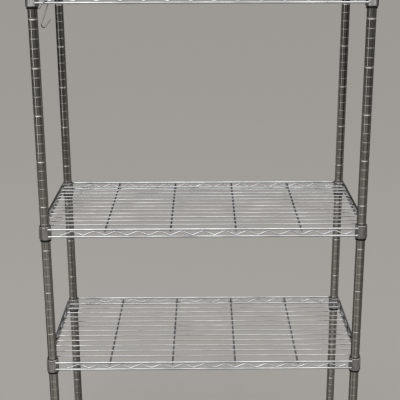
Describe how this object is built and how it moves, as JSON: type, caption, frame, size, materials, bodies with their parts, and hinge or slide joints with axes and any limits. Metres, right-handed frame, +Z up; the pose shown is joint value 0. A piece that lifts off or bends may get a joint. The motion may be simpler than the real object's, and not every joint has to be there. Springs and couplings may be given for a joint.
{
  "type": "wire shelving unit",
  "caption": "Free-standing chrome wire shelving unit: grooved round posts, lift-off wire shelves wedged on split sleeves, screw feet and a hanging hook.",
  "frame": {"origin": "on the floor, midway between the four posts", "axes": "+X along the shelves to the right, +Y from front to rear, +Z up"},
  "size_m": [0.9128, 0.4731, 1.6194],
  "materials": {
    "post_chrome": "bright plated, a little dulled",
    "wire_chrome": "bright plated",
    "collar_chrome": "plated, a little dull",
    "sleeve_plastic": "black, satin",
    "black_plastic": "black, satin",
    "foot_steel": "zinc plated",
    "hook_steel": "zinc plated, dull"
  },
  "bodies": {
    "uprights": {"front_left_post": "post_chrome", "front_left_cap": "black_plastic", "front_right_post": "post_chrome", "front_right_cap": "black_plastic", "rear_left_post": "post_chrome", "rear_left_cap": "black_plastic", "rear_right_post": "post_chrome", "rear_right_cap": "black_plastic", "post_inserts": "black_plastic", "bottom_shelf_front_left_sleeve": "sleeve_plastic", "bottom_shelf_front_right_sleeve": "sleeve_plastic", "bottom_shelf_rear_left_sleeve": "sleeve_plastic", "bottom_shelf_rear_right_sleeve": "sleeve_plastic", "lower_shelf_front_left_sleeve": "sleeve_plastic", "lower_shelf_front_right_sleeve": "sleeve_plastic", "lower_shelf_rear_left_sleeve": "sleeve_plastic", "lower_shelf_rear_right_sleeve": "sleeve_plastic", "middle_shelf_front_left_sleeve": "sleeve_plastic", "middle_shelf_front_right_sleeve": "sleeve_plastic", "middle_shelf_rear_left_sleeve": "sleeve_plastic", "middle_shelf_rear_right_sleeve": "sleeve_plastic", "top_shelf_front_left_sleeve": "sleeve_plastic", "top_shelf_front_right_sleeve": "sleeve_plastic", "top_shelf_rear_left_sleeve": "sleeve_plastic", "top_shelf_rear_right_sleeve": "sleeve_plastic"},
    "bottom_shelf": {"bottom_shelf_collars": "collar_chrome", "bottom_shelf_long_rails": "wire_chrome", "bottom_shelf_end_rails": "wire_chrome", "bottom_shelf_long_trusses": "wire_chrome", "bottom_shelf_end_trusses": "wire_chrome", "bottom_shelf_deck_wires": "wire_chrome", "bottom_shelf_cross_wires": "wire_chrome"},
    "lower_shelf": {"lower_shelf_collars": "collar_chrome", "lower_shelf_long_rails": "wire_chrome", "lower_shelf_end_rails": "wire_chrome", "lower_shelf_long_trusses": "wire_chrome", "lower_shelf_end_trusses": "wire_chrome", "lower_shelf_deck_wires": "wire_chrome", "lower_shelf_cross_wires": "wire_chrome"},
    "middle_shelf": {"middle_shelf_collars": "collar_chrome", "middle_shelf_long_rails": "wire_chrome", "middle_shelf_end_rails": "wire_chrome", "middle_shelf_long_trusses": "wire_chrome", "middle_shelf_end_trusses": "wire_chrome", "middle_shelf_deck_wires": "wire_chrome", "middle_shelf_cross_wires": "wire_chrome"},
    "top_shelf": {"top_shelf_collars": "collar_chrome", "top_shelf_long_rails": "wire_chrome", "top_shelf_end_rails": "wire_chrome", "top_shelf_long_trusses": "wire_chrome", "top_shelf_end_trusses": "wire_chrome", "top_shelf_deck_wires": "wire_chrome", "top_shelf_cross_wires": "wire_chrome"},
    "front_left_foot": {"front_left_foot": "foot_steel"},
    "front_right_foot": {"front_right_foot": "foot_steel"},
    "rear_left_foot": {"rear_left_foot": "foot_steel"},
    "rear_right_foot": {"rear_right_foot": "foot_steel"},
    "hook": {"s_hook": "hook_steel"}
  },
  "joints": [
    {"name": "bottom_shelf_lift", "type": "slide", "parent": "uprights", "child": "bottom_shelf", "axis": [0, 0, 1], "range_m": [0, 0.3845]},
    {"name": "lower_shelf_lift", "type": "slide", "parent": "uprights", "child": "lower_shelf", "axis": [0, 0, 1], "range_m": [0, 0.3591]},
    {"name": "middle_shelf_lift", "type": "slide", "parent": "uprights", "child": "middle_shelf", "axis": [0, 0, 1], "range_m": [0, 0.5285]},
    {"name": "top_shelf_lift", "type": "slide", "parent": "uprights", "child": "top_shelf", "axis": [0, 0, 1], "range_m": [0, 0.06]},
    {"name": "front_left_foot_screw", "type": "slide", "parent": "uprights", "child": "front_left_foot", "axis": [0, 0, -1], "range_m": [0, 0.015]},
    {"name": "front_right_foot_screw", "type": "slide", "parent": "uprights", "child": "front_right_foot", "axis": [0, 0, -1], "range_m": [0, 0.015]},
    {"name": "rear_left_foot_screw", "type": "slide", "parent": "uprights", "child": "rear_left_foot", "axis": [0, 0, -1], "range_m": [0, 0.015]},
    {"name": "rear_right_foot_screw", "type": "slide", "parent": "uprights", "child": "rear_right_foot", "axis": [0, 0, -1], "range_m": [0, 0.015]},
    {"name": "hook_swing", "type": "hinge", "parent": "top_shelf", "child": "hook", "pos_m": [-0.401, -0.22569, 1.5686], "axis": [1, 0, 0], "range_deg": [-15, 15]}
  ]
}
